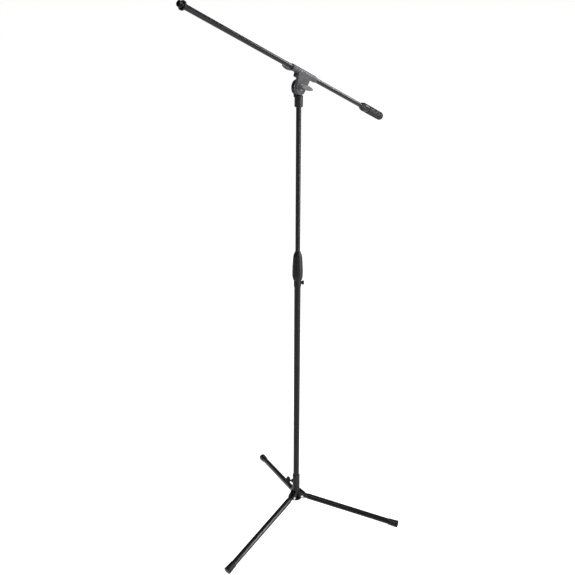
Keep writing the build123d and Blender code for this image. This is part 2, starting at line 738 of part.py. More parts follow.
shoulder_radius = boom_radius + shoulder_overlap
plug_outline = (
    (-tip_reach, 0),
    (-tip_reach, stud_radius - stud_bevel),
    (-tip_reach + stud_bevel, stud_radius),
    (-stud_start - relief_length, stud_radius),
    (-stud_start - relief_length, stud_radius - relief_depth),
    (-stud_start, stud_radius - relief_depth),
    (-stud_start, stud_radius),
    (-tube_front - shoulder_length, stud_radius),
    (-tube_front - shoulder_length, shoulder_radius),
    (-tube_front, shoulder_radius),
    (-tube_front, boom_bore - seated),
    (-tube_front + plug_length, boom_bore - seated),
    (-tube_front + plug_length, 0),
)
with BuildPart() as tip_stud:
    revolve(turned(boom_axis_plane, plug_outline), axis=boom_axis)
save(tip_stud.part, "tip_stud")

ring_start = tube_front + shoulder_length + apart
with BuildPart() as lock_ring:
    with BuildSketch(boom_square_plane(-ring_start - lock_ring_thickness)):
        Circle(lock_ring_diameter / 2)
    extrude(amount=lock_ring_thickness)
    chamfer(lock_ring.edges(), lock_ring_chamfer)
    with BuildSketch(boom_square_plane(-ring_start - lock_ring_thickness)):
        Circle(stud_radius + running)
    extrude(amount=lock_ring_thickness, mode=Mode.SUBTRACT)
save(lock_ring.part, "lock_ring")

# ---- Counterweight: bell, steel slug and rubber sleeve ------------------------------------------
bell_end = weight_bell_start + weight_bell_length
bell_outline = (
    (weight_bell_start, boom_radius + seated),
    (weight_bell_start, boom_radius + 1.0),
    (weight_bell_start + 14, weight_radius - 1.0),
    (weight_bell_start + 19, weight_radius),
    (bell_end - 6, weight_radius),
    (bell_end - 5, weight_radius - bell_groove),
    (bell_end, weight_radius - bell_groove),
    (bell_end, boom_radius + seated),
)
with BuildPart() as counterweight_bell:
    revolve(turned(boom_axis_plane, bell_outline), axis=boom_axis)
save(counterweight_bell.part, "counterweight_bell")

with BuildPart() as counterweight_slug:
    with BuildSketch(boom_square_plane(bell_end)):
        Circle(slug_radius)
        Circle(boom_radius + seated, mode=Mode.SUBTRACT)
    extrude(amount=slug_end - bell_end)
save(counterweight_slug.part, "counterweight_slug")

with BuildPart() as counterweight_sleeve:
    with BuildSketch(boom_square_plane(bell_end)):
        Circle(weight_radius)
    extrude(amount=weight_reach - bell_end)
    fillet(counterweight_sleeve.edges().sort_by(Axis.X)[-1], weight_end_round)
    with BuildSketch(boom_square_plane(bell_end)):
        Circle(slug_radius + seated)
    extrude(amount=slug_end + seated - bell_end, mode=Mode.SUBTRACT)
save(counterweight_sleeve.part, "counterweight_sleeve")

print("pin height", round(pin_height, 2), "plate top", round(plate_top, 2))
print("hub bottom", round(hub_bottom, 2))
print("leg length", round(leg_length, 2), "counterweight reach", round(weight_reach, 2))
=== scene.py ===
# %% [markdown]
# # A boom microphone stand
#
# The stand is a folding tripod, a two-part mast with a twist clutch, and a boom that tilts and
# slides in a cast holder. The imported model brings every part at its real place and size. This
# lesson gives each part the finish that it has on a real stand, and rebuilds the parts whose
# looks come from fine repeated detail: threads, knurls, ribs and flutes, and soft cast edges.

import json
import math

import bmesh
import bpy
from mathutils import Matrix, Vector


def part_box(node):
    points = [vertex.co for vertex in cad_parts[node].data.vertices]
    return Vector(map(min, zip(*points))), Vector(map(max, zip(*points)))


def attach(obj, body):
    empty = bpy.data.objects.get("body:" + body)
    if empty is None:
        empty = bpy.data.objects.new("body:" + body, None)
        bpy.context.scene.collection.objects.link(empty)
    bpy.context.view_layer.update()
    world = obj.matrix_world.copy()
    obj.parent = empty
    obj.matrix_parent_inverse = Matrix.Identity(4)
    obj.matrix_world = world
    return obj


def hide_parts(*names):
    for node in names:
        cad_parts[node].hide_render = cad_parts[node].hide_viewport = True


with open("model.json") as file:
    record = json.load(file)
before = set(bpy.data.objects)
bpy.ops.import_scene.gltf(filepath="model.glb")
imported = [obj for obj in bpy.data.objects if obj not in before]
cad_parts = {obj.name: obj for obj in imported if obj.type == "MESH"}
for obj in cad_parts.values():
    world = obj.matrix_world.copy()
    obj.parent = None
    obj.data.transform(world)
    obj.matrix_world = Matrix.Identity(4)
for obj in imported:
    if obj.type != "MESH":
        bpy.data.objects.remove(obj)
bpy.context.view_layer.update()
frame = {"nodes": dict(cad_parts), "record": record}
joints = {joint["name"]: joint for joint in frame["record"]["behaviour"]["joints"]}

# %% [markdown]
# ## Reading places from the parts
#
# Positions could be typed in again, but then they would drift from the model. The joints give
# every axis exactly: the tilt bolt, the boom's own line, and the screws.

# %% Axes of the moving parts
def joint_point(name):
    return Vector(joints[name]["pos_m"])


def joint_axis(name):
    return Vector(joints[name]["axis"]).normalized()


UP = Vector((0, 0, 1))
pivot = joint_point("boom_tilt")
to_tip = joint_axis("boom_slide")
boom_up = to_tip.cross(Vector((0, 1, 0))).normalized()
if boom_up.z < 0:
    boom_up = -boom_up
boom_point = joint_point("boom_clamp_turn") - Vector((0, joint_point("boom_clamp_turn").y, 0))
print("pivot height", round(pivot.z, 4), "boom rises", round(math.degrees(math.asin(to_tip.z)), 2))


def reach_along(node, start, along):
    """Nearest and farthest reach of a node along an axis, measured from start."""
    reach = [(vertex.co - start).dot(along) for vertex in frame["nodes"][node].data.vertices]
    return min(reach), max(reach)


def along_boom(node):
    """Reach of a node along the boom, measured from the clamp screw."""
    return reach_along(node, boom_point, to_tip)


def on_axis(start, along, side):
    """A frame whose z runs along an axis and whose x is as near as possible to side."""
    z = along.normalized()
    x = (side - z * side.dot(z)).normalized()
    y = z.cross(x)
    turn = Matrix((x, y, z)).transposed().to_4x4()
    turn.translation = start
    return turn


# %% [markdown]
# ## Helpers for finishes
#
# Each finish is a small node tree on one Principled shader. Patterns read Object coordinates, in
# metres, so a scale of 1000 makes features a millimetre across, and they hold still when a part
# moves.

# %% Building blocks for node materials
def new_finish(name, roughness=0.5, metallic=0.0, specular=0.5):
    material = bpy.data.materials.new(name)
    material.use_nodes = True
    tree = material.node_tree
    shader = tree.nodes["Principled BSDF"]
    shader.inputs["Roughness"].default_value = roughness
    shader.inputs["Metallic"].default_value = metallic
    shader.inputs["Specular IOR Level"].default_value = specular
    return material, tree, shader


def object_noise(tree, scale, detail=2.0, rough=0.5, stretch=(1, 1, 1)):
    """Noise in the part's own space; scale is in features per metre."""
    place = tree.nodes.new("ShaderNodeTexCoord")
    turn = tree.nodes.new("ShaderNodeMapping")
    turn.inputs["Scale"].default_value = stretch
    noise = tree.nodes.new("ShaderNodeTexNoise")
    noise.inputs["Scale"].default_value = scale
    noise.inputs["Detail"].default_value = detail
    noise.inputs["Roughness"].default_value = rough
    tree.links.new(place.outputs["Object"], turn.inputs["Vector"])
    tree.links.new(turn.outputs["Vector"], noise.inputs["Vector"])
    return noise.outputs["Fac"]


def ramp(tree, value, low, high, start=0.3, end=0.7):
    """Blend between two colours as a value rises from start to end."""
    node = tree.nodes.new("ShaderNodeValToRGB")
    node.color_ramp.elements[0].position = start
    node.color_ramp.elements[0].color = (*low, 1)
    node.color_ramp.elements[1].position = end
    node.color_ramp.elements[1].color = (*high, 1)
    tree.links.new(value, node.inputs["Fac"])
    return node.outputs["Color"]


def spread(tree, value, low, high):
    """Stretch a 0 to 1 value over a range."""
    node = tree.nodes.new("ShaderNodeMapRange")
    node.inputs["To Min"].default_value = low
    node.inputs["To Max"].default_value = high
    tree.links.new(value, node.inputs["Value"])
    return node.outputs["Result"]


def bump(tree, shader, value, height, previous=None, strength=1.0):
    """Raise the surface by a value times a height in metres."""
    node = tree.nodes.new("ShaderNodeBump")
    node.inputs["Strength"].default_value = strength
    node.inputs["Distance"].default_value = height
    tree.links.new(value, node.inputs["Height"])
    if previous is not None:
        tree.links.new(previous, node.inputs["Normal"])
    tree.links.new(node.outputs["Normal"], shader.inputs["Normal"])
    return node.outputs["Normal"]


print("blocks: noise, ramp, spread and bump")

# %% [markdown]
# ## Powder-coated steel
#
# The tubes are steel with a thin satin black coat. Powder melts into a skin with a faint orange
# peel about a millimetre across, and handling polishes some patches. A clear coat over a darker
# base could do it, but one shader with a varied roughness is enough and exports cleanly.

# %% Satin black tubes
def satin_tube_finish():
    material, tree, shader = new_finish("satin_black_tube", specular=0.15)
    peel = object_noise(tree, 900.0, 2.0)
    patches = object_noise(tree, 28.0, 3.0)
    tree.links.new(ramp(tree, patches, (0.004, 0.004, 0.004), (0.006, 0.006, 0.006)),
                   shader.inputs["Base Color"])
    tree.links.new(spread(tree, patches, 0.20, 0.26), shader.inputs["Roughness"])
    bump(tree, shader, peel, 0.000002)
    return material


def textured_cast_finish(name, low, high, roughness):
    """A coarser coat on die castings: fine pebbles over a slightly uneven skin."""
    material, tree, shader = new_finish(name, specular=0.18)
    pebble = object_noise(tree, 1500.0, 3.0, 0.6)
    patches = object_noise(tree, 90.0, 3.0)
    tree.links.new(ramp(tree, patches, low, high), shader.inputs["Base Color"])
    tree.links.new(spread(tree, pebble, roughness - 0.06, roughness + 0.10), shader.inputs["Roughness"])
    first = bump(tree, shader, patches, 0.00005)
    bump(tree, shader, pebble, 0.00003, previous=first)
    return material


# %% [markdown]
# ## Plastic, rubber and bare metal
#
# The grip, knobs and boots are moulded with a fine spark-eroded grain. Zinc-plated steel shows
# fine turned lines. The nylon pieces inside are slightly milky, so they get a little subsurface.

# %% Moulded and bare finishes
def moulded_finish(name, low, high, roughness, grain=2200.0, height=0.00002):
    material, tree, shader = new_finish(name, specular=0.15)
    fine = object_noise(tree, grain, 2.0, 0.6)
    broad = object_noise(tree, 60.0, 2.0)
    tree.links.new(ramp(tree, broad, low, high), shader.inputs["Base Color"])
    tree.links.new(spread(tree, fine, roughness - 0.05, roughness + 0.08), shader.inputs["Roughness"])
    bump(tree, shader, fine, height)
    return material


def bare_steel_finish(name, low, high, roughness):
    material, tree, shader = new_finish(name, metallic=1.0)
    lines = object_noise(tree, 500.0, 4.0, 0.6, stretch=(1, 9, 1))
    tree.links.new(ramp(tree, lines, low, high), shader.inputs["Base Color"])
    tree.links.new(spread(tree, lines, roughness - 0.06, roughness + 0.08), shader.inputs["Roughness"])
    bump(tree, shader, lines, 0.00002)
    return material


def nylon_finish():
    material, tree, shader = new_finish("milky_nylon", roughness=0.45)
    cloud = object_noise(tree, 120.0, 2.0)
    tree.links.new(ramp(tree, cloud, (0.66, 0.65, 0.60), (0.78, 0.77, 0.72)), shader.inputs["Base Color"])
    shader.inputs["Subsurface Weight"].default_value = 0.2
    shader.inputs["Subsurface Scale"].default_value = 0.002
    bump(tree, shader, cloud, 0.00003)
    return material


finishes = {
    "tube_black": satin_tube_finish(),
    "cast_black": textured_cast_finish("black_casting", (0.004, 0.004, 0.004), (0.008, 0.008, 0.009), 0.36),
    "cast_grey": textured_cast_finish("grey_casting", (0.028, 0.027, 0.031), (0.040, 0.039, 0.043), 0.42),
    "wing_grey": textured_cast_finish("grey_wing", (0.055, 0.055, 0.058), (0.078, 0.078, 0.082), 0.34),
    "grip_plastic": moulded_finish("grip_plastic", (0.004, 0.004, 0.004), (0.007, 0.007, 0.008), 0.34),
    "knob_plastic": moulded_finish("knob_plastic", (0.003, 0.003, 0.003), (0.006, 0.006, 0.006), 0.32),
    "sleeve_rubber": moulded_finish("ribbed_rubber", (0.005, 0.005, 0.005), (0.009, 0.009, 0.010), 0.38),
    "boot_rubber": moulded_finish("boot_rubber", (0.003, 0.003, 0.003), (0.006, 0.006, 0.006), 0.44),
    "black_steel": bare_steel_finish("black_zinc", (0.012, 0.012, 0.013), (0.024, 0.024, 0.026), 0.26),
    "bright_steel": bare_steel_finish("bright_zinc", (0.50, 0.50, 0.52), (0.66, 0.66, 0.68), 0.28),
    "nylon": nylon_finish(),
}
print("finishes:", ", ".join(sorted(finishes)))

# %% Give every node its finish
slot_of = {part["node"]: part["material_slot"] for part in frame["record"]["subparts"]}
for node, part in frame["nodes"].items():
    part.data.materials.clear()
    part.data.materials.append(finishes[slot_of[node]])
print("painted nodes:", len(slot_of))

# %% [markdown]
# ## Turned parts
#
# Grips, bells, boots, rings and screw heads are all turned or moulded round. A Screw modifier on
# an edge chain would do, but a small function that joins rings of points gives closed poles and
# clean quads, and rounding the outline's corners first gives every rim a soft highlight.

# %% Rounding an outline and turning it
def rounded(outline, radius, closed=False):
    """Replace each corner of a (reach, radius) outline with a short arc."""
    smooth = []
    count = len(outline)
    for index, corner in enumerate(outline):
        corner = Vector(corner)
        if not closed and index in (0, count - 1):
            smooth.append(corner)
            continue
        before, after = Vector(outline[index - 1]), Vector(outline[(index + 1) % count])
        cut = min(radius, (before - corner).length * 0.45, (after - corner).length * 0.45)
        start = corner + (before - corner).normalized() * cut
        end = corner + (after - corner).normalized() * cut
        for step in (0.0, 0.33, 0.67, 1.0):
            smooth.append(start * (1 - step) ** 2 + corner * 2 * step * (1 - step) + end * step ** 2)
    return smooth


def densified(outline, longest):
    """Add points so that no run along the axis is longer than the given step."""
    points = [outline[0]]
    for point in outline[1:]:
        last = points[-1]
        pieces = max(1, math.ceil((point - last).length / longest))
        points.extend(last.lerp(point, step / pieces) for step in range(1, pieces + 1))
    return points


def turned_mesh(name, outline, segments, closed=False):
    """Turn an outline about z. Points on the axis become one vertex; a closed outline is a tube."""
    shape = bmesh.new()
    rings = []
    for reach, radius in outline:
        if radius < 1e-7:
            rings.append([shape.verts.new((0, 0, reach))])
            continue
        turn = 2 * math.pi / segments
        rings.append([
            shape.verts.new((radius * math.cos(turn * step), radius * math.sin(turn * step), reach))
            for step in range(segments)
        ])
    pairs = list(zip(rings, rings[1:])) + ([(rings[-1], rings[0])] if closed else [])
    for one, two in pairs:
        for step in range(segments):
            ahead = (step + 1) % segments
            if len(one) == 1 and len(two) == 1:
                continue
            if len(one) == 1:
                shape.faces.new((one[0], two[ahead], two[step]))
            elif len(two) == 1:
                shape.faces.new((one[step], one[ahead], two[0]))
            else:
                shape.faces.new((one[step], one[ahead], two[ahead], two[step]))
    bmesh.ops.recalc_face_normals(shape, faces=shape.faces)
    mesh = bpy.data.meshes.new(name)
    shape.to_mesh(mesh)
    shape.free()
    return mesh


# %% Merging, measuring and finishing a piece
def merged(mesh):
    """Join vertices that share a place, and turn all faces outwards."""
    shape = bmesh.new()
    shape.from_mesh(mesh)
    bmesh.ops.remove_doubles(shape, verts=shape.verts, dist=1e-6)
    bmesh.ops.recalc_face_normals(shape, faces=shape.faces)
    shape.to_mesh(mesh)
    shape.free()
    return mesh


def after_modifiers(bench):
    """The plain mesh that an object's modifiers make; the object itself is then removed."""
    bpy.context.view_layer.update()
    ready = bench.evaluated_get(bpy.context.evaluated_depsgraph_get())
    plain = bpy.data.meshes.new_from_object(ready)
    bpy.data.objects.remove(bench)
    return plain


def on_bench(mesh):
    """An object that carries a mesh while modifiers work on it."""
    bench = bpy.data.objects.new("bench", mesh)
    bpy.context.scene.collection.objects.link(bench)
    return bench


def settle(name, mesh, body, node, slot, place=None, crease=35):
    """Put a mesh in its place, give it its finish, shade it, hang it on its body, and hide the node it
    stands for.
    """
    if place is not None:
        mesh.transform(place)
    mesh.name = name
    mesh.materials.clear()
    mesh.materials.append(finishes[slot])
    mesh.shade_smooth()
    mesh.set_sharp_from_angle(angle=math.radians(crease))
    piece = bpy.data.objects.new(name, mesh)
    bpy.context.scene.collection.objects.link(piece)
    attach(piece, body)
    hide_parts(node)
    print(name, "faces", len(mesh.polygons))
    return piece


print("bench ready")

# %% [markdown]
# ## Flutes and knurls with Geometry Nodes
#
# A grip's flutes and a ring's knurls are the same rule at different sizes: the radius dips a
# number of times round the axis, between two heights. Cutting them one by one needs a boolean
# for each; a node tree that moves each point by the angle it stands at makes them all at once.

# %% A tree for wavy rounds
def wavy_round_tree():
    """Dips the skin of a round towards its z axis, Count times round, between Low and High."""
    tree = bpy.data.node_groups.new("wavy_round", "GeometryNodeTree")
    face = tree.interface
    face.new_socket("Geometry", in_out="INPUT", socket_type="NodeSocketGeometry")
    for title in ("Count", "Depth", "Low", "High", "Fade", "Width", "Core", "Skin"):
        face.new_socket(title, in_out="INPUT", socket_type="NodeSocketFloat")
    face.new_socket("Material", in_out="INPUT", socket_type="NodeSocketMaterial")
    face.new_socket("Geometry", in_out="OUTPUT", socket_type="NodeSocketGeometry")
    node, link = tree.nodes.new, tree.links.new
    given, result = node("NodeGroupInput"), node("NodeGroupOutput")

    def maths(kind, one, two=None):
        part = node("ShaderNodeMath")
        part.operation = kind
        for socket, value in zip(part.inputs, (one, two)):
            if isinstance(value, (int, float)):
                socket.default_value = value
            elif value is not None:
                link(value, socket)
        return part.outputs[0]

    def step_up(value, start, end=None):
        part = node("ShaderNodeMapRange")
        part.interpolation_type = "SMOOTHSTEP"
        link(value, part.inputs["Value"])
        link(start, part.inputs["From Min"])
        if end is not None:
            link(end, part.inputs["From Max"])
        return part.outputs["Result"]

    place = node("GeometryNodeInputPosition")
    split = node("ShaderNodeSeparateXYZ")
    link(place.outputs[0], split.inputs[0])
    angle = maths("ARCTAN2", split.outputs["Y"], split.outputs["X"])
    wave = maths("COSINE", maths("MULTIPLY", angle, given.outputs["Count"]))
    dip = step_up(wave, maths("SUBTRACT", 1.0, maths("MULTIPLY", given.outputs["Width"], 2.0)))
    rise = step_up(split.outputs["Z"], given.outputs["Low"],
                   maths("ADD", given.outputs["Low"], given.outputs["Fade"]))
    fall = step_up(split.outputs["Z"], maths("SUBTRACT", given.outputs["High"], given.outputs["Fade"]),
                   given.outputs["High"])
    window = maths("MULTIPLY", rise, maths("SUBTRACT", 1.0, fall))
    radius = maths("SQRT", maths("ADD", maths("MULTIPLY", split.outputs["X"], split.outputs["X"]),
                                 maths("MULTIPLY", split.outputs["Y"], split.outputs["Y"])))
    outer = node("ShaderNodeMapRange")
    link(radius, outer.inputs["Value"])
    link(given.outputs["Core"], outer.inputs["From Min"])
    link(given.outputs["Skin"], outer.inputs["From Max"])
    amount = maths("MULTIPLY", maths("MULTIPLY", dip, window),
                   maths("MULTIPLY", given.outputs["Depth"], outer.outputs["Result"]))
    flat = node("ShaderNodeCombineXYZ")
    link(split.outputs["X"], flat.inputs["X"])
    link(split.outputs["Y"], flat.inputs["Y"])
    outwards = node("ShaderNodeVectorMath")
    outwards.operation = "NORMALIZE"
    link(flat.outputs[0], outwards.inputs[0])
    inwards = node("ShaderNodeVectorMath")
    inwards.operation = "SCALE"
    link(outwards.outputs[0], inwards.inputs[0])
    link(maths("MULTIPLY", amount, -1.0), inwards.inputs["Scale"])
    move = node("GeometryNodeSetPosition")
    link(given.outputs["Geometry"], move.inputs["Geometry"])
    link(inwards.outputs[0], move.inputs["Offset"])
    real = node("GeometryNodeRealizeInstances")
    link(move.outputs[0], real.inputs[0])
    paint = node("GeometryNodeSetMaterial")
    link(real.outputs[0], paint.inputs["Geometry"])
    link(given.outputs["Material"], paint.inputs["Material"])
    link(paint.outputs[0], result.inputs[0])
    return tree


def through_nodes(mesh, tree, values):
    """Run a mesh through a node tree and give back the plain mesh that comes out."""
    bench = on_bench(mesh)
    modifier = bench.modifiers.new("pattern", "NODES")
    modifier.node_group = tree
    sockets = {item.name: item.identifier for item in tree.interface.items_tree if item.in_out == "INPUT"}
    for title, value in values.items():
        modifier[sockets[title]] = value
    return after_modifiers(bench)


wavy_round = wavy_round_tree()
print("wavy round tree:", len(wavy_round.nodes), "nodes")

# %% [markdown]
# ## The twist grip
#
# The grip closes the collet on the upper tube. It is one moulding, widest below its middle, with
# a shoulder under the neck and twelve soft flutes for the fingers. Its round form is turned first,
# and the node tree then sinks the flutes, which fade out before the two ends.

# %% Fluted grip
def half_width(node):
    low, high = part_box(node)
    return (high[0] - low[0]) / 2


def make_grip():
    foot, top = (corner[2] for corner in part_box("clutch_grip"))
    tall = top - foot
    wide = half_width("clutch_grip") + 0.0004
    tube = half_width("upper_tube")
    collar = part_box("clutch_collar")[1][0] - 0.0001
    mouth = tube + 0.0006
    seat = 0.0098
    flute_depth = 0.0013
    outside = [
        (0.0, wide - 0.0040), (0.0035, wide - 0.0018), (0.014, wide - 0.0001), (0.030, wide),
        (0.046, wide - 0.0004), (0.062, wide - 0.0014), (tall - 0.014, wide - 0.0028),
        (tall - 0.0095, wide - 0.0038), (tall - 0.0035, wide - 0.0068), (tall, wide - 0.0074),
    ]
    inside = [(tall, mouth), (tall - 0.0125, mouth), (tall - 0.0135, seat), (tall - 0.031, collar),
              (0.0, collar)]
    outline = densified(rounded(outside + inside, 0.0009, closed=True), 0.0022)
    mesh = turned_mesh("grip", outline, 192, closed=True)
    mesh = through_nodes(mesh, wavy_round, {
        "Count": 12.0, "Depth": flute_depth, "Low": 0.008, "High": tall - 0.012, "Fade": 0.009,
        "Width": 0.16, "Core": wide - 0.0055, "Skin": wide - 0.0042,
        "Material": finishes["grip_plastic"],
    })
    settle("fluted_grip", mesh, "grip", "clutch_grip", "grip_plastic",
           Matrix.Translation((0, 0, foot)), 50)


make_grip()

# %% [markdown]
# ## The threaded tip and its lock ring
#
# Clips screw on to a 5/8 inch thread with 27 turns to the inch. A thread is a small ridge that
# follows a helix, so a spiral curve carries a diamond section round a plain core. The ring
# behind it is turned from steel and knurled so that it can be spun up tight by hand.

# %% Thread and tip
def thread_tree():
    """Joins a helical ridge to whatever mesh it is given."""
    tree = bpy.data.node_groups.new("screw_thread", "GeometryNodeTree")
    face = tree.interface
    face.new_socket("Geometry", in_out="INPUT", socket_type="NodeSocketGeometry")
    for title in ("Pitch", "Turns", "Radius", "Ridge", "Start"):
        face.new_socket(title, in_out="INPUT", socket_type="NodeSocketFloat")
    face.new_socket("Material", in_out="INPUT", socket_type="NodeSocketMaterial")
    face.new_socket("Geometry", in_out="OUTPUT", socket_type="NodeSocketGeometry")
    node, link = tree.nodes.new, tree.links.new
    given, result = node("NodeGroupInput"), node("NodeGroupOutput")
    height = node("ShaderNodeMath")
    height.operation = "MULTIPLY"
    link(given.outputs["Pitch"], height.inputs[0])
    link(given.outputs["Turns"], height.inputs[1])
    helix = node("GeometryNodeCurveSpiral")
    helix.inputs["Resolution"].default_value = 48
    link(given.outputs["Turns"], helix.inputs["Rotations"])
    link(given.outputs["Radius"], helix.inputs["Start Radius"])
    link(given.outputs["Radius"], helix.inputs["End Radius"])
    link(height.outputs[0], helix.inputs["Height"])
    ridge = node("GeometryNodeCurvePrimitiveCircle")
    ridge.inputs["Resolution"].default_value = 4
    link(given.outputs["Ridge"], ridge.inputs["Radius"])
    sweep = node("GeometryNodeCurveToMesh")
    sweep.inputs["Fill Caps"].default_value = True
    link(helix.outputs[0], sweep.inputs["Curve"])
    link(ridge.outputs[0], sweep.inputs["Profile Curve"])
    lift = node("GeometryNodeTransform")
    start = node("ShaderNodeCombineXYZ")
    link(given.outputs["Start"], start.inputs["Z"])
    link(sweep.outputs[0], lift.inputs["Geometry"])
    link(start.outputs[0], lift.inputs["Translation"])
    join = node("GeometryNodeJoinGeometry")
    link(lift.outputs[0], join.inputs[0])
    link(given.outputs["Geometry"], join.inputs[0])
    real = node("GeometryNodeRealizeInstances")
    link(join.outputs[0], real.inputs[0])
    paint = node("GeometryNodeSetMaterial")
    link(real.outputs[0], paint.inputs["Geometry"])
    link(given.outputs["Material"], paint.inputs["Material"])
    link(paint.outputs[0], result.inputs[0])
    return tree


def boom_frame(reach):
    return on_axis(boom_point + to_tip * reach, to_tip, boom_up)


def make_tip():
    rear, nose = along_boom("tip_stud")
    tube_end = along_boom("boom_tube")[1] - rear
    ring_rear = along_boom("lock_ring")[0] - rear
    tall = nose - rear
    crest = 0.00794
    ridge = 0.00052
    core = crest - ridge * 1.1
    bore = 0.00594
    flange = 0.0088
    flange_face = ring_rear - 0.0003
    nose_bevel = 0.0012
    outline = [(0, 0), (0, bore), (tube_end, bore), (tube_end, flange), (flange_face, flange),
               (flange_face, core), (tall - nose_bevel, core), (tall, core - nose_bevel), (tall, 0)]
    mesh = turned_mesh("core", rounded(outline, 0.0004), 96)
    pitch = 0.0254 / 27
    start = ring_rear + 0.0006
    mesh = through_nodes(mesh, thread_tree(), {
        "Pitch": pitch, "Turns": (tall - 0.0016 - start) / pitch, "Radius": crest - ridge,
        "Ridge": ridge, "Start": start, "Material": finishes["black_steel"],
    })
    settle("threaded_tip", mesh, "boom", "tip_stud", "black_steel", boom_frame(rear), 30)


def make_lock_ring():
    rear, front = along_boom("lock_ring")
    wide, bore, thick = 0.012, 0.00799, front - rear
    edge = 0.0011
    knurl_depth = 0.0004
    outline = [(0, bore), (0, wide - edge), (edge, wide), (thick - edge, wide), (thick, wide - edge),
               (thick, bore)]
    outline = densified(rounded(outline, 0.0003, closed=True), 0.0007)
    mesh = through_nodes(turned_mesh("ring", outline, 480, closed=True), wavy_round, {
        "Count": 60.0, "Depth": knurl_depth, "Low": -0.001, "High": thick + 0.001, "Fade": 0.0005,
        "Width": 0.45, "Core": wide - 0.0014, "Skin": wide - 0.0006, "Material": finishes["black_steel"],
    })
    settle("knurled_lock_ring", mesh, "ring", "lock_ring", "black_steel", boom_frame(rear), 40)


make_tip()
make_lock_ring()

# %% [markdown]
# ## The counterweight
#
# A steel slug hides under a rubber sleeve with moulded ribs. In front of it a plastic bell flares
# from the tube, and a groove parts the two. The ribs run right round, so they are drawn into the
# outline with a cosine and turned with it, which needs no displacement afterwards.

# %% Bell and ribbed sleeve
def make_bell():
    end, start = along_boom("counterweight_bell")
    tall = start - end
    wide, tube = 0.0135, 0.00703
    groove = wide - 0.0016
    outline = [(0, tube), (0, groove), (0.0048, groove), (0.0052, wide - 0.0003),
               (0.0085, wide), (tall - 0.019, wide), (tall - 0.016, wide - 0.0003),
               (tall - 0.0115, wide - 0.0018), (tall - 0.006, tube + 0.0028), (tall - 0.0015, tube + 0.0014),
               (tall, tube + 0.0009), (tall, tube)]
    mesh = turned_mesh("bell", rounded(outline, 0.0006, closed=True), 128, closed=True)
    settle("weight_bell", mesh, "boom", "counterweight_bell", "grip_plastic", boom_frame(end), 50)


def rib_outline(start, end, radius, pitch, depth):
    """Rounded ribs along a stretch of a turned outline."""
    count = max(1, round((end - start) / pitch))
    width = (end - start) / count
    points = []
    steps = 8
    for rib in range(count):
        for step in range(steps):
            share = step / steps
            dip = depth * (0.5 + 0.5 * math.cos(2 * math.pi * share)) ** 2
            points.append((start + (rib + share) * width, radius - dip))
    return points


def make_sleeve():
    end, start = along_boom("counterweight_sleeve")
    tall = start - end
    wide, slug = 0.0135, 0.01153
    slug_end = along_boom("counterweight_slug")[0] - end
    dome = [(0, 0), (0.0001, 0.0040), (0.0009, 0.0078), (0.0028, 0.0108), (0.0056, 0.0127), (0.0084, wide)]
    ribs = rib_outline(0.010, tall - 0.004, wide, 0.0034, 0.0007)
    floor_inside = slug_end - 0.00003
    rest = [(tall - 0.0038, wide), (tall - 0.0008, wide), (tall, wide - 0.0008), (tall, slug),
            (floor_inside, slug), (floor_inside, 0)]
    mesh = turned_mesh("sleeve", [Vector(point) for point in dome + ribs + rest], 96)
    settle("ribbed_weight_sleeve", mesh, "boom", "counterweight_sleeve", "sleeve_rubber",
           boom_frame(end), 50)


make_bell()
make_sleeve()

# %% [markdown]
# ## Rubber boots
#
# Each leg ends in a flared boot with a groove behind its lip. A boolean with the floor would leave
# long thin faces, so the boot is turned round the leg's own axis, and the points that would pass
# through the floor are pressed flat on to it.

# %% Boots
def leg_axis(number):
    """Where a leg's axis starts, and its direction, from the middles of the leg tube's two ends."""
    points = [vertex.co for vertex in frame["nodes"][f"leg_tube_{number}"].data.vertices]
    pin = joint_point(f"leg_{number}_fold")
    outward = Vector((pin.x, pin.y, 0)).normalized()
    reach = [point.dot(outward) for point in points]
    end_depth = 0.006
    inner = [point for point, out in zip(points, reach) if out < min(reach) + end_depth]
    outer = [point for point, out in zip(points, reach) if out > max(reach) - end_depth]
    start = sum(inner, Vector()) / len(inner)
    end = sum(outer, Vector()) / len(outer)
    return start, (end - start).normalized()


def make_boot(number):
    node = f"foot_boot_{number}"
    start, along = leg_axis(number)
    mouth, sole = reach_along(node, start, along)
    tall = sole - mouth
    tube, wide = 0.01003, 0.013
    outline = [(0, tube), (0, tube + 0.0013), (0.006, tube + 0.0015), (0.014, tube + 0.0017),
               (0.020, tube + 0.0021), (tall - 0.0070, wide - 0.0004), (tall - 0.0066, wide - 0.0014),
               (tall - 0.0054, wide - 0.0014), (tall - 0.0050, wide), (tall - 0.0012, wide),
               (tall, wide - 0.0012), (tall, 0)]
    floor_inside = tall - 0.0085
    hollow = [(floor_inside, 0), (floor_inside, tube), (0, tube)]
    outline = rounded(outline, 0.0005) + [Vector(point) for point in hollow]
    mesh = turned_mesh("boot", outline, 96)
    mesh.transform(on_axis(start + along * mouth, along, UP))
    for vertex in mesh.vertices:
        vertex.co.z = max(vertex.co.z, 0.0)
    merged(mesh)
    settle(f"rubber_boot_{number}", mesh, f"leg_{number}", node, "boot_rubber", None, 50)


for number in (1, 2, 3):
    make_boot(number)

# %% [markdown]
# ## The collar's lock screw
#
# The collar is pinned by a small thumb screw with a knurled rim and a shallow dish in its face.
# Its head is a round with the same kind of dips as the grip, so the same node tree makes them.

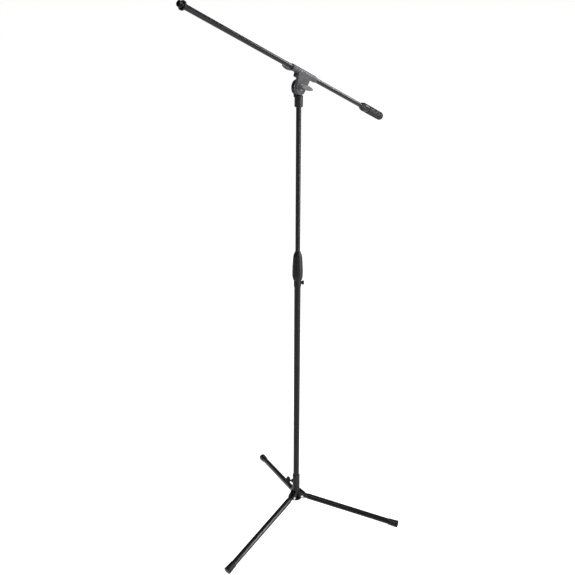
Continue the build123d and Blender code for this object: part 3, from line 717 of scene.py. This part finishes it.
# %% Lock screw
def make_lock_screw():
    axis = joint_axis("collar_screw_turn")
    base = Vector((0, 0, joint_point("collar_screw_turn").z))
    start, end = reach_along("collar_lock_screw", base, axis)
    tall = end - start
    head = tall - 0.0070
    wide, shank = 0.0068, 0.0025
    dish = tall - 0.0009
    outline = [(0, 0), (0, shank - 0.0003), (0.0003, shank), (head, shank), (head, wide - 0.0008),
               (head + 0.0008, wide), (tall - 0.0008, wide), (tall, wide - 0.0009),
               (tall, wide - 0.0018), (dish, wide - 0.0026), (dish, 0)]
    outline = densified(rounded(outline, 0.0003), 0.0008)
    mesh = through_nodes(turned_mesh("screw", outline, 240), wavy_round, {
        "Count": 30.0, "Depth": 0.0004, "Low": head - 0.001, "High": tall + 0.001,
        "Fade": 0.0005, "Width": 0.45, "Core": wide - 0.0010, "Skin": wide - 0.0005,
        "Material": finishes["knob_plastic"],
    })
    settle("knurled_lock_screw", mesh, "collar_screw", "collar_lock_screw", "knob_plastic",
           on_axis(base + axis * start, axis, UP), 40)


make_lock_screw()

# %% [markdown]
# ## Castings
#
# Die castings have no sharp edges: the melt rounds every corner and fills every inside angle. A
# Bevel modifier stumbles where round and flat forms meet, so each casting is skinned afresh with
# small voxels and then relaxed, which rounds all its edges by the same half millimetre.

# %% Soft castings
def soft_casting(name, node, body, voxel, passes, slot):
    """Skin a merged copy of a node with small voxels, then relax it the given number of times."""
    bench = on_bench(merged(frame["nodes"][node].data.copy()))
    skin = bench.modifiers.new("skin", "REMESH")
    skin.mode = "VOXEL"
    skin.voxel_size = voxel
    relax = bench.modifiers.new("relax", "SMOOTH")
    relax.factor = 0.5
    relax.iterations = passes
    settle(name, after_modifiers(bench), body, node, slot, crease=80)


large_voxel = 0.0006
leg_voxel = 0.00045
small_voxel = 0.00035
soft_casting("boom_holder_casting", "boom_holder", "holder", large_voxel, 5, "cast_grey")
soft_casting("swivel_casting", "swivel_base", "riser", large_voxel, 4, "cast_black")
soft_casting("hub_shell", "hub_casting", "hub", large_voxel, 4, "cast_black")
soft_casting("tilt_handle", "tilt_wing_nut", "tilt_nut", small_voxel, 5, "wing_grey")
soft_casting("clamp_handle", "boom_clamp_screw", "clamp_screw", small_voxel, 5, "wing_grey")
soft_casting("hub_thumb_screw", "hub_wing_screw", "hub_screw", small_voxel, 5, "knob_plastic")
for number in (1, 2, 3):
    soft_casting(f"leg_casting_{number}", f"leg_root_{number}", f"leg_{number}", leg_voxel, 4,
                 "cast_black")

# %% [markdown]
# ## Camera, floor and light
#
# A stand like this is shown whole, from a little above its hub, on white. Black gloss is lit by
# what it mirrors, so the room itself is dim. An overhead panel lights the upward faces, a strip at
# the right draws the streak on the upper tube, and a panel behind draws the one on the boom.

# %% Camera
camera_data = bpy.data.cameras.new("camera")
camera = bpy.data.objects.new("camera", camera_data)
bpy.context.scene.collection.objects.link(camera)
bpy.context.scene.camera = camera
camera_around = math.radians(-52.17)
camera_distance = 2.1107
camera_height = 1.7764
camera_pitch = math.radians(22.83)
camera_turn = math.radians(1.775)
camera_roll = math.radians(-0.30)
camera_data.sensor_width = 36.0
camera_data.lens = 44.53
camera_data.shift_x = 0.0181
camera_data.shift_y = 0.0125
camera.location = (
    math.sin(camera_around) * camera_distance,
    -math.cos(camera_around) * camera_distance,
    camera_height,
)
heading = camera_around + camera_turn
look = Vector((
    -math.sin(heading) * math.cos(camera_pitch),
    math.cos(heading) * math.cos(camera_pitch),
    -math.sin(camera_pitch),
))
camera.rotation_mode = "QUATERNION"
roll_turn = Matrix.Rotation(camera_roll, 4, "Z").to_quaternion()
camera.rotation_quaternion = look.to_track_quat("-Z", "Y") @ roll_turn
print("camera at", [round(v, 3) for v in camera.location])

# %% Floor
def make_floor():
    mesh = bpy.data.meshes.new("floor")
    side = 30.0
    low = -0.0005    # half a millimetre down, so that the boots' soles don't share its plane
    mesh.from_pydata([(-side, -side, low), (side, -side, low), (side, side, low), (-side, side, low)],
                     [], [(0, 1, 2, 3)])
    floor = bpy.data.objects.new("floor", mesh)
    bpy.context.scene.collection.objects.link(floor)
    material, tree, shader = new_finish("pale_floor", roughness=0.9, specular=0.1)
    shader.inputs["Emission Color"].default_value = (1, 1, 1, 1)
    shader.inputs["Emission Strength"].default_value = 1.0
    cloud = object_noise(tree, 3.0, 2.0)
    tree.links.new(ramp(tree, cloud, (0.40, 0.40, 0.40), (0.46, 0.46, 0.46)), shader.inputs["Base Color"])
    mesh.materials.append(material)


make_floor()
print("floor laid just under the boots")

# %% Lights
def make_room():
    """A dim room whose walls look white: only rays that leave the camera meet the bright one."""
    world = bpy.data.worlds.new("studio")
    world.use_nodes = True
    tree = world.node_tree
    dim = tree.nodes["Background"]
    bright = tree.nodes.new("ShaderNodeBackground")
    for wall, strength in ((dim, 0.10), (bright, 1.0)):
        wall.inputs["Color"].default_value = (1, 1, 1, 1)
        wall.inputs["Strength"].default_value = strength
    seen_directly = tree.nodes.new("ShaderNodeLightPath")
    blend = tree.nodes.new("ShaderNodeMixShader")
    tree.links.new(seen_directly.outputs["Is Camera Ray"], blend.inputs["Fac"])
    tree.links.new(dim.outputs[0], blend.inputs[1])
    tree.links.new(bright.outputs[0], blend.inputs[2])
    tree.links.new(blend.outputs[0], tree.nodes["World Output"].inputs["Surface"])
    bpy.context.scene.world = world


def area_light(name, place, target, width, height, power):
    """A soft panel that faces its target."""
    data = bpy.data.lights.new(name, "AREA")
    data.shape = "RECTANGLE"
    data.size, data.size_y = width, height
    data.energy = power
    light = bpy.data.objects.new(name, data)
    light.location = place
    light.rotation_mode = "QUATERNION"
    light.rotation_quaternion = (target - place).to_track_quat("-Z", "Y")
    bpy.context.scene.collection.objects.link(light)


make_room()
view_right = look.cross(UP).normalized()
view_back = Vector((-look.x, -look.y, 0)).normalized()
middle = Vector((0, 0, 0.9))
area_light("overhead", middle + view_back * 1.4 + UP * 2.4, middle, 2.0, 1.2, 70)
area_light("side_strip", middle + view_right * 2.2 + view_back * 1.0 + UP * 0.4, middle, 0.35, 2.4, 110)
area_light("back_panel", pivot + view_right * 2.5 - view_back * 1.5 + UP * 0.6, pivot, 0.8, 0.8, 45)
bpy.context.scene.view_settings.view_transform = "Standard"
